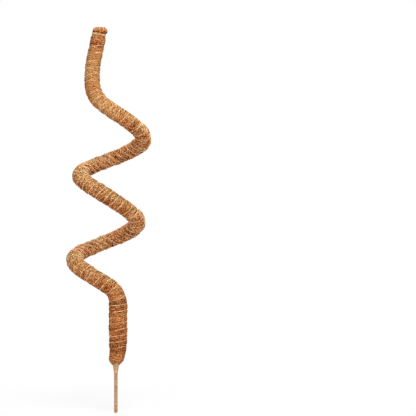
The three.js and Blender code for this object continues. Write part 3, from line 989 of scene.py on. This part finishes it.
def fibre_mesh(rng, kind, tones, low, high, limits):
    """Vertices and faces of locks of fibre between two lengths, with values and straightened places."""
    locks = len(tones)
    per_lock = (locks, 1, 1)
    per_fibre = (locks, kind.in_lock, 1)
    shares = spread_evenly(rng, locks)
    length = (low + (high - low) * shares[:, 0])[:, None, None]
    angle = (TAU * shares[:, 1])[:, None, None]
    span = rng.uniform(*kind.span, per_lock) * rng.uniform(*SPAN_SHARE, per_fibre)
    heading = kind.heading + fibre_lean(length) + rng.normal(0, kind.spread, per_lock)
    lean = np.radians(heading + rng.normal(0, HEADING_SPREAD, per_fibre))
    bow = rng.normal(0, LOCK_BOW, per_lock) + rng.normal(0, FIBRE_BOW, per_fibre)
    order = (np.arange(kind.in_lock) - (kind.in_lock - 1) / 2)[None, :, None]
    spacing = FIBRE_SPACING * rng.uniform(*SIZE_SHARE, per_lock)
    place = order * spacing + rng.normal(0, PLACE_SPREAD, per_fibre)
    end = np.linspace(-1, 1, kind.points)[None, None, :]
    t = end / 2 + rng.uniform(*FIBRE_SLIP, per_fibre)
    curl = TAU * (t * span / rng.uniform(*kind.curl, per_lock) + rng.random(per_lock))
    side = place * (1 - GATHERED_ENDS * end ** 2) + bow * span * t * t + kind.rise * np.cos(curl)
    lengths = np.clip(length + span * t * np.sin(lean) + side * np.cos(lean), *limits)
    arc = span * t * np.cos(lean) - side * np.sin(lean)
    _, radius, _, _ = coir_surface(lengths, angle + 0 * arc)
    angles = angle + arc / np.maximum(radius, LEAST_RADIUS)
    tone = tones[:, None, None]
    crown_low, crown_high = kind.crown
    # Darker locks lie lower and paler ones higher, which paints shade into the depth of the coir.
    crown = crown_low + (crown_high - crown_low) * (rng.random(per_lock) + tone) / 2
    crown = crown + CROWN_SPREAD * rng.normal(0, 1, per_fibre) - CROWN_FALL * order ** 2
    lift = crown + kind.rise * np.sin(curl) - (crown + END_DIP) * end ** 4
    tied = rng.random(per_lock) < TIED_SHARE
    near = sum(winding.near(lengths, angles, TWINE_PRESS_WIDTH) for winding in WINDINGS)
    lift = lift * np.where(tied & (lift > 0), 1 - TWINE_PRESS * near, 1)
    last_half = np.clip(end, 0, 1)
    stray = rng.uniform(*STRAY_RISE, per_fibre) * last_half ** 2
    loose = rng.random(per_fibre) < kind.loose
    lift = lift + np.where(loose, stray + END_DIP * last_half ** 4, 0)
    points, normals = coir_point(lengths, angles, lift)
    thick = kind.radius * rng.uniform(*SIZE_SHARE, per_fibre) * (1 - END_TAPER * end ** 2)
    values = coir_tones(lengths, angles)
    fibre_tone = tone + rng.normal(0, TONE_SPREAD, per_fibre)
    values[..., 0] += MIDDLE_TONE + (fibre_tone - MIDDLE_TONE) * values[..., 2]
    straight = straightened(lengths, angles, radius + lift)
    flat = (locks * kind.in_lock, kind.points, -1)
    radii = np.broadcast_to(thick, lift.shape).reshape(flat[:2])
    verts, faces, own = tubes(points.reshape(flat), normals.reshape(flat), radii, FIBRE_SIDES)
    carried = np.concatenate([values, straight], -1)
    return verts, faces, carried.reshape(-1, carried.shape[-1])[own]


def joined(parts):
    """Points, faces and point values of several meshes as one."""
    points, faces, values, count = [], [], [], 0
    for part_points, part_faces, part_values in parts:
        points.append(part_points)
        faces += [[i + count for i in face] for face in part_faces]
        values.append(part_values)
        count += len(part_points)
    return np.concatenate(points), faces, np.concatenate(values)


def make_fibre(name, parts):
    points, faces, values = joined(parts)
    return coir_piece(name, points, faces, coir_fibre, values[:, :3], values[:, 3:])


def make_pole_fibre(index):
    low, high = SEAMS[index], SEAMS[index + 1]
    rng = np.random.default_rng(FIBRE_SEED + index)
    limits = (FIBRE_MARGIN, PLUG_START - FIBRE_MARGIN)
    tones = lock_tones(rng, round(LOCKS_PER_METRE * (high - low)))
    locks = fibre_mesh(rng, LOCK, tones, low, high, limits)
    pale = rng.uniform(*HAIR_TONES, round(HAIRS_PER_METRE * (high - low)))
    hairs = fibre_mesh(rng, HAIR, pale, low, high, limits)
    across_bend(make_fibre(f"coir_fibre_{index + 1}", [locks, hairs]))


# Twine: two plies laid round each other, wound on the coir and drawn into it

TWINE_STEP = 1.0 * MM
PLIES = 2
PLY_RADIUS = 0.26 * MM
PLY_OFFSET = 0.23 * MM
PLY_LAY = 4 * MM
PLY_SIDES = 6
TWINE_SINK = 0.5 * MM
TIE_SEAT = 0.6 * MM
TWINE_END_DIP = 1.8 * MM
TWINE_END_RUN = 2.5 * MM


def twine_path(winding, low, high):
    """Middle of the twine from one length to another, with the directions out of the coir."""
    turns = (high - low) / winding.pitch
    radius = float(coir_radius(np.array((low + high) / 2)))
    steps = round(turns * TAU * radius / TWINE_STEP)
    length = np.linspace(low, high, steps)
    angle = winding.angle(length)
    dip = 1 - window(length, winding.low, winding.high, TWINE_END_RUN)
    shift = winding.shift(length, angle) * (1 - dip)
    seat = twine_seat(length) + TWINE_SINK * sinking(length, angle)
    return coir_point(length + shift, angle, seat - TWINE_END_DIP * dip)


def twine_plies(path, normal, start):
    """The plies of a stretch of twine, laid round its middle."""
    across = np.cross(unit(np.gradient(path, axis=0)), normal)
    run = run_along(path) + start
    plies = []
    for ply in range(PLIES):
        turn = TAU * (run / PLY_LAY + ply / PLIES)
        offset = normal * np.cos(turn)[:, None] + across * np.sin(turn)[:, None]
        plies.append(path + PLY_OFFSET * offset)
    normals = np.stack([normal] * PLIES)
    radii = np.full((PLIES, len(path)), PLY_RADIUS)
    return tubes(np.stack(plies), normals, radii, PLY_SIDES)


def make_twine(index):
    """Twine over one bend: the upper half of the length below it and the lower half of the one above."""
    below, above = WINDINGS[index], WINDINGS[index + 1]
    stretches = [
        (below, max(below.low, SEAMS[index]), below.high),
        (above, above.low, min(above.high, SEAMS[index + 1])),
    ]
    parts = [twine_plies(*twine_path(*stretch), stretch[1]) for stretch in stretches]
    points, faces, _ = joined(parts)
    piece = new_piece(f"twine_{index + 1}", points, faces, twine, "twine")
    across_bend(piece)
    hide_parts(*nodes_of(["twine"], index))


for bend in range(len(BENDS)):
    make_bed(bend)
    make_pole_fibre(bend)
    make_twine(bend)


# Tuft and tie on top

TUFT_COLUMNS = 96
TUFT_ROWS = 40
TUFT_SEED = 200
TUFT_LOCKS = 420
TUFT_TONE_SHARE = 0.75
TUFT_START = 0.02 * MM
TUFT_MARGIN = 0.5 * MM
TUFT_MIDDLE = 2 * MM
TIE_MARGIN = 1.3 * MM
TIE_STEPS = 150


def make_tuft():
    rows = PLUG_START + np.linspace(TUFT_START, TUFT_REACH[-1], TUFT_ROWS)
    length, angle = ring_grid(rows, TUFT_COLUMNS)
    points, _ = coir_point(length, angle, np.zeros(length.shape))
    _, radius, _, _ = coir_surface(length, angle)
    values = coir_tones(length, angle)
    # Painted shade: the tuft's bed is darker than its locks, like the pole's bed.
    values[..., 0] += BED_TONE
    faces = loft_faces(TUFT_ROWS, TUFT_COLUMNS, closed=False)
    piece = coir_piece("tuft_bed", points, faces, coir_bed, values, straightened(length, angle, radius))
    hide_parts("top_plug")
    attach(piece, "top_arm")
    rng = np.random.default_rng(TUFT_SEED)
    tones = lock_tones(rng, TUFT_LOCKS) * TUFT_TONE_SHARE
    limits = (TUFT_EDGE - TUFT_MARGIN, TUFT_END - TUFT_MARGIN)
    locks = fibre_mesh(rng, TUFT_LOCK, tones, TUFT_EDGE + TUFT_MARGIN, TUFT_END - TUFT_MIDDLE, limits)
    fibre = make_fibre("tuft_fibre", [locks])
    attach(fibre, "top_arm")


def make_tie():
    """Turns of twine round the neck, half levelled like the tuft's lower edge."""
    length = np.linspace(NECK_START + TIE_MARGIN, PLUG_START - TIE_MARGIN, TIE_STEPS)
    angle = TAU * (length - length[0]) / TIE_PITCH
    level = UNDERSIDE_LEVEL * TUFT_LEVEL * NECK_RADIUS * np.cos(angle - TUFT_RIGHT)
    path, normal = coir_point(length + level, angle, np.full(TIE_STEPS, TIE_SEAT))
    points, faces, _ = twine_plies(path, normal, 0)
    piece = new_piece("top_tie_twine", points, faces, twine, "twine")
    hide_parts("top_tie")
    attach(piece, "top_arm")


make_tuft()
make_tie()


# Stake, its rounded end and the wrapped collar

STAKE_COLUMNS = 40
STAKE_ROWS = 120
CAP_ROWS = 14
CAP_GAP = 0.3 * MM
WRAP_PITCH = 9 * MM
WRAP_STEP = 0.12 * MM
WRAP_SLOPE = 0.9
STAKE_DENT = 0.08 * MM
COLLAR_ROWS = 34
COLLAR_BORE = STAKE_RADIUS + 0.1 * MM
COLLAR_EDGE_RADIUS = STAKE_RADIUS + 0.25 * MM
COLLAR_CURVE = 1.4
COLLAR_WRAPS = 2
COLLAR_WRAP_STEP = 1.5
COLLAR_DENT = 0.15 * MM
COLLAR_OVERLAP = 0.6 * MM
TONGUE_HEIGHT = 3.0 * MM
TONGUE_WIDTH = 0.7
# Where the stake and the collar start on the lattice of dents, in metres
STAKE_DENT_PLACE = 0.1
COLLAR_DENT_PLACE = 0.3


def round_piece(name, rings, closed, material, slot):
    """A piece on the stem, of rings round the stake's axis."""
    faces = loft_faces(len(rings), STAKE_COLUMNS, closed)
    piece = new_piece(name, rings, faces, material, slot)
    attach(piece, "stem")
    return piece


def bored(length, angle, radius, bore_length, bore):
    """Rings up the outside of a piece and down its bore."""
    outer, _, _ = pole_point(length, angle, radius)
    inner, _, _ = pole_point(bore_length[::-1], angle, np.full(angle.shape, bore))
    return np.concatenate([outer, inner])


def wrap_step(length, angle):
    """Height of the overlapping edge of a tape wound round the stake."""
    turn = (length / WRAP_PITCH - angle / TAU) % 1
    return WRAP_STEP * (1 - smooth(turn, 0, WRAP_SLOPE))


stake_dents = lattice(seed=15, cell=6 * MM, around=5)


def stake_radius(length, angle):
    dents = STAKE_DENT * stake_dents(length + STAKE_DENT_PLACE, angle)
    return STAKE_RADIUS - WRAP_STEP + wrap_step(length, angle) + dents


def collar_radius(length, angle):
    rise = np.clip(1 + length / COLLAR_HEIGHT, 0, 1)
    cone = COLLAR_EDGE_RADIUS + (COLLAR_RADIUS - COLLAR_EDGE_RADIUS) * rise ** COLLAR_CURVE
    flare = np.where(length > 0, coir_radius(np.maximum(length, 0)) - FOOT_RADIUS, 0)
    wraps = COLLAR_WRAP_STEP * wrap_step(COLLAR_WRAPS * length, angle)
    return cone + flare + wraps + COLLAR_DENT * stake_dents(length + COLLAR_DENT_PLACE, angle)


def collar_rise(angle):
    """Height of the collar's upper edge: a tongue of the tape lies over the coir's foot at the front."""
    away = (angle - front_angle(0.0) + math.pi) % TAU - math.pi
    return TONGUE_HEIGHT * np.exp(-((away / TONGUE_WIDTH) ** 2))


def cap_radius(length):
    rise = np.clip((length + STAKE_DEPTH) / CAP_HEIGHT, 0, 1)
    return CAP_FLAT_RADIUS + (CAP_RADIUS - CAP_FLAT_RADIUS) * np.sqrt(1 - (1 - rise) ** 2)


def make_stake():
    rows = np.linspace(-STAKE_DEPTH + CAP_HEIGHT + CAP_GAP, STAKE_INSERT, STAKE_ROWS)
    length, angle = ring_grid(rows, STAKE_COLUMNS)
    rings = bored(length, angle, stake_radius(length, angle), length, STAKE_BORE)
    piece = round_piece("stake", rings, True, stake_wrap, "stake_plastic")
    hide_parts("stake_tube")


def make_stake_end():
    rise = np.sin(np.linspace(0, math.pi / 2, CAP_ROWS))
    length, angle = ring_grid(-STAKE_DEPTH + CAP_HEIGHT * (1 - rise[::-1]), STAKE_COLUMNS)
    rings, _, _ = pole_point(length, angle, cap_radius(length))
    piece = round_piece("stake_end", rings, False, stake_wrap, "stake_plastic")
    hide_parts("stake_cap")


def make_collar():
    """Tape round the stake's top, widening over the coir's foot, with a bore for the stake."""
    rise, angle = ring_grid(np.linspace(0, 1, COLLAR_ROWS), STAKE_COLUMNS)
    top = COLLAR_OVERLAP + collar_rise(angle)
    length = -COLLAR_HEIGHT + (COLLAR_HEIGHT + top) * rise
    rings = bored(length, angle, collar_radius(length, angle), np.minimum(length, 0), COLLAR_BORE)
    piece = round_piece("collar", rings, True, collar_wrap, "collar_tape")
    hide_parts("collar_tape")


make_stake()
make_stake_end()
make_collar()


# Core wire, which stays as it was imported, inside the coir

wire = wire_material()
for name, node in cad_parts.items():
    if name.startswith("core_wire_"):
        node.data.materials.clear()
        node.data.materials.append(wire)


# Floor, backdrop and light

FLOOR_SIZE = 6.0
FLOOR_GREY = 0.7
FLOOR_FADE = (0.12, 0.45)
FLOOR_WHITE = (0.8, 1.0)
WORLD_STRENGTH = 0.42
WHITE = (1, 1, 1, 1)
# Lamps, all aimed at the pole's middle: place, width and power
MIDDLE = Vector((-0.01, 0.03, 0.25))
LAMPS = {
    "key": ((0.25, -1.2, 2.2), 1.2, 54),
    "fill": ((0.2, -2.0, 0.6), 1.4, 18),
    "back": ((0.2, 1.5, 1.7), 1.2, 14),
}


def camera_ray_share(tree):
    """1 for rays that show the background: camera, mirror and clear rays."""
    path = tree.nodes.new("ShaderNodeLightPath").outputs
    share = add_math(tree, "MAXIMUM", path["Is Camera Ray"], path["Is Glossy Ray"])
    return add_math(tree, "MAXIMUM", share, path["Is Transmission Ray"])


def add_shown(tree, share, lit, shown, output):
    """What lights the pole, mixed with what is shown behind it."""
    mix = tree.nodes.new("ShaderNodeMixShader")
    tree.links.new(share, mix.inputs["Fac"])
    tree.links.new(lit, mix.inputs[1])
    tree.links.new(shown, mix.inputs[2])
    tree.links.new(mix.outputs["Shader"], tree.nodes[output].inputs["Surface"])


def make_floor():
    """Pale floor that turns into the white backdrop away from the pole and keeps its shadow near it."""
    half = FLOOR_SIZE / 2
    level = -STAKE_DEPTH
    corners = [(-half, -half, level), (half, -half, level), (half, half, level), (-half, half, level)]
    mesh = bpy.data.meshes.new("floor")
    mesh.from_pydata(corners, [], [(0, 1, 2, 3)])
    material, tree, shader = new_material("floor", roughness=1, gloss=0.5)
    shader.inputs["Base Color"].default_value = (FLOOR_GREY, FLOOR_GREY, FLOOR_GREY, 1)
    away = tree.nodes.new("ShaderNodeVectorMath")
    away.operation = "LENGTH"
    tree.links.new(own_place(tree), away.inputs[0])
    white = tree.nodes.new("ShaderNodeMapRange")
    for socket, value in zip(("From Min", "From Max", "To Min", "To Max"), (*FLOOR_FADE, *FLOOR_WHITE)):
        white.inputs[socket].default_value = value
    tree.links.new(away.outputs["Value"], white.inputs["Value"])
    glow = tree.nodes.new("ShaderNodeEmission")
    share = add_math(tree, "MULTIPLY", camera_ray_share(tree), white.outputs["Result"])
    add_shown(tree, share, shader.outputs["BSDF"], glow.outputs["Emission"], "Material Output")
    mesh.materials.append(material)
    floor = bpy.data.objects.new("floor", mesh)
    bpy.context.collection.objects.link(floor)


def make_world():
    world = bpy.data.worlds.new("studio")
    bpy.context.scene.world = world
    world.use_nodes = True
    tree = world.node_tree
    light = tree.nodes["Background"]
    light.inputs["Color"].default_value = WHITE
    light.inputs["Strength"].default_value = WORLD_STRENGTH
    backdrop = tree.nodes.new("ShaderNodeBackground")
    backdrop.inputs["Color"].default_value = WHITE
    lit, shown = light.outputs["Background"], backdrop.outputs["Background"]
    add_shown(tree, camera_ray_share(tree), lit, shown, "World Output")


def add_lamp(name, place, size, power):
    data = bpy.data.lights.new(name, "AREA")
    data.shape = "DISK"
    data.size = size
    data.energy = power
    lamp = bpy.data.objects.new(name, data)
    lamp.location = place
    lamp.rotation_euler = (MIDDLE - Vector(place)).to_track_quat("-Z", "Y").to_euler()
    bpy.context.collection.objects.link(lamp)


make_floor()
make_world()
for name, lamp in LAMPS.items():
    add_lamp(name, *lamp)

bpy.context.scene.view_settings.view_transform = "Standard"
